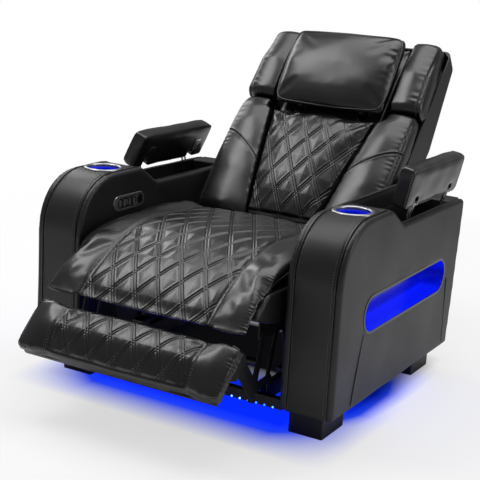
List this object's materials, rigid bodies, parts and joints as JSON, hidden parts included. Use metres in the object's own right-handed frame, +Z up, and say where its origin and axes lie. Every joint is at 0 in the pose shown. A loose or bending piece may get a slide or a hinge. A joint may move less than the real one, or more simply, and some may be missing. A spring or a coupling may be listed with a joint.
{
  "type": "power recliner chair",
  "caption": "theatre seat with motor-driven recline, footrest and headrest, storage arms with hinged lids, lit cup holders and lit side niches",
  "frame": {"origin": "on the floor, midway between the arms and midway along the chair", "axes": "X to the right seen from the front, Y to the back, Z up"},
  "size_m": [0.9351, 1.3462, 0.9504],
  "materials": {
    "leather": "semi-gloss",
    "frame_steel": "satin",
    "bright_steel": "satin",
    "silver_trim": "brushed",
    "black_plastic": "matte",
    "wood": "matte",
    "blue_light": "gloss"
  },
  "bodies": {
    "base": {"left_arm_outer_panel": "leather", "left_arm_inner_panel": "leather", "left_arm_front_band": "leather", "left_storage_bin": "black_plastic", "left_niche_tray": "black_plastic", "left_cup_holder": "silver_trim", "right_arm_outer_panel": "leather", "right_arm_inner_panel": "leather", "right_arm_front_band": "leather", "right_storage_bin": "black_plastic", "right_niche_tray": "black_plastic", "right_cup_holder": "silver_trim", "arm_rear_panels": "leather", "rear_cover": "leather", "arm_base_boards": "wood", "cross_rails": "wood", "lid_hinge_brackets": "bright_steel", "cup_lights": "blue_light", "niche_lights": "blue_light", "floor_light": "blue_light", "feet": "black_plastic", "power_box": "black_plastic", "charge_socket": "black_plastic", "glide_rails": "frame_steel", "control_plate": "silver_trim"},
    "left_lid": {"left_lid_pad": "leather", "left_lid_leaves": "bright_steel"},
    "right_lid": {"right_lid_pad": "leather", "right_lid_leaves": "bright_steel"},
    "recline_button": {"recline_button": "silver_trim"},
    "upright_button": {"upright_button": "silver_trim"},
    "head_forward_button": {"head_forward_button": "silver_trim"},
    "head_back_button": {"head_back_button": "silver_trim"},
    "light_button": {"light_button": "silver_trim"},
    "seat": {"seat_frame": "leather", "seat_side_plates": "frame_steel", "glide_shoes": "black_plastic", "seat_webbing": "black_plastic", "footrest_motor": "black_plastic", "recline_motor": "black_plastic", "seat_cushion": "leather"},
    "front_link": {"front_links": "frame_steel", "cross_tube": "frame_steel"},
    "rear_link": {"rear_links": "frame_steel"},
    "coupler": {"coupler_links": "frame_steel"},
    "footrest_link": {"footrest_links": "frame_steel"},
    "footrest": {"footrest_brackets": "frame_steel", "footrest_board": "wood", "footrest_pad": "leather"},
    "back": {"back_frame": "frame_steel", "back_shell": "leather", "back_cushion": "leather", "left_back_bolster": "leather", "right_back_bolster": "leather", "left_head_wing": "leather", "right_head_wing": "leather"},
    "headrest": {"headrest_pillow": "leather", "headrest_plate": "frame_steel"},
    "footrest_carriage": {"footrest_carriage": "frame_steel"},
    "recline_carriage": {"recline_carriage": "frame_steel"}
  },
  "joints": [
    {"name": "back_recline", "type": "hinge", "parent": "seat", "child": "back", "pos_m": [0, 0.205, 0.38], "axis": [-1, 0, 0], "range_deg": [-27, 20]},
    {"name": "seat_glide", "type": "slide", "parent": "base", "child": "seat", "axis": [0, -1, 0], "range_m": [-0.0815, 0.0605]},
    {"name": "recline_drive", "type": "slide", "parent": "seat", "child": "recline_carriage", "axis": [0, -1, 0], "range_m": [-0.033, 0.0245]},
    {"name": "headrest_tilt", "type": "hinge", "parent": "back", "child": "headrest", "pos_m": [0, 0.43089, 0.71755], "axis": [1, 0, 0], "range_deg": [-8, 24]},
    {"name": "footrest_open", "type": "hinge", "parent": "seat", "child": "front_link", "pos_m": [0, -0.4105, 0.2707], "axis": [-1, 0, 0], "range_deg": [-46, 40]},
    {"name": "rear_link_pivot", "type": "hinge", "parent": "seat", "child": "rear_link", "pos_m": [0, -0.3425, 0.2767], "axis": [-1, 0, 0], "range_deg": [-46, 40]},
    {"name": "coupler_pivot", "type": "hinge", "parent": "front_link", "child": "coupler", "pos_m": [0, -0.44799, 0.13997], "axis": [-1, 0, 0], "range_deg": [-40, 46]},
    {"name": "footrest_link_pivot", "type": "hinge", "parent": "front_link", "child": "footrest_link", "pos_m": [0, -0.46199, 0.11597], "axis": [-1, 0, 0], "range_deg": [-40, 46]},
    {"name": "footrest_tilt", "type": "hinge", "parent": "coupler", "child": "footrest", "pos_m": [0, -0.53199, 0.24197], "axis": [-1, 0, 0], "range_deg": [-46, 40]},
    {"name": "footrest_drive", "type": "slide", "parent": "seat", "child": "footrest_carriage", "axis": [0, -1, 0], "range_m": [-0.056, 0.0485]},
    {"name": "left_lid_hinge", "type": "hinge", "parent": "base", "child": "left_lid", "pos_m": [-0.447, 0.1625, 0.552], "axis": [0, -1, 0], "range_deg": [-65, 36.5]},
    {"name": "right_lid_hinge", "type": "hinge", "parent": "base", "child": "right_lid", "pos_m": [0.447, 0.1625, 0.552], "axis": [0, 1, 0], "range_deg": [-101.5, 0]},
    {"name": "recline_button_press", "type": "slide", "parent": "base", "child": "recline_button", "axis": [-1, 0, 0], "range_m": [0, 0.0015], "stiffness_N_per_m": 400, "springref_m": -0.0003},
    {"name": "upright_button_press", "type": "slide", "parent": "base", "child": "upright_button", "axis": [-1, 0, 0], "range_m": [0, 0.0015], "stiffness_N_per_m": 400, "springref_m": -0.0003},
    {"name": "head_forward_button_press", "type": "slide", "parent": "base", "child": "head_forward_button", "axis": [-1, 0, 0], "range_m": [0, 0.0015], "stiffness_N_per_m": 400, "springref_m": -0.0003},
    {"name": "head_back_button_press", "type": "slide", "parent": "base", "child": "head_back_button", "axis": [-1, 0, 0], "range_m": [0, 0.0015], "stiffness_N_per_m": 400, "springref_m": -0.0003},
    {"name": "light_button_press", "type": "slide", "parent": "base", "child": "light_button", "axis": [-1, 0, 0], "range_m": [0, 0.0015], "stiffness_N_per_m": 400, "springref_m": -0.0003}
  ],
  "couplings": [
    {"joint": "seat_glide", "follows": "back_recline", "m_per_rad": 0.172},
    {"joint": "recline_drive", "follows": "back_recline", "m_per_rad": 0.0686},
    {"joint": "rear_link_pivot", "follows": "footrest_open", "ratio": 1},
    {"joint": "coupler_pivot", "follows": "footrest_open", "ratio": -1},
    {"joint": "footrest_link_pivot", "follows": "footrest_open", "ratio": -1},
    {"joint": "footrest_tilt", "follows": "footrest_open", "ratio": 1},
    {"joint": "footrest_drive", "follows": "footrest_open", "m_per_rad": 0.0685}
  ]
}
